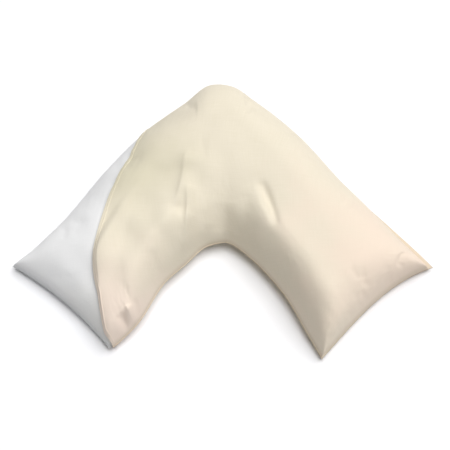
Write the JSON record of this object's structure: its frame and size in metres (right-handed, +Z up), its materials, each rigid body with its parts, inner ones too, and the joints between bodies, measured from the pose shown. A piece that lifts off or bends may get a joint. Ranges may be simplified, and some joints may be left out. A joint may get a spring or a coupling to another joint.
{
  "type": "v shaped pillow in a pillowcase",
  "caption": "Boomerang shaped filled pillow lying on its back in a cotton case whose slanted mouth leaves one tip bare.",
  "frame": {"origin": "on the floor under the middle of the outline", "axes": "+X from the bare left tip to the cased right tip, +Y from the open side towards the elbow, +Z up"},
  "size_m": [1.1038, 0.7958, 0.1696],
  "materials": {
    "pillow_cotton": "smooth white cotton",
    "case_cotton": "plain woven ecru cotton"
  },
  "bodies": {
    "root": {"pillow": "pillow_cotton", "case_front": "case_cotton", "case_back": "case_cotton"}
  },
  "joints": []
}
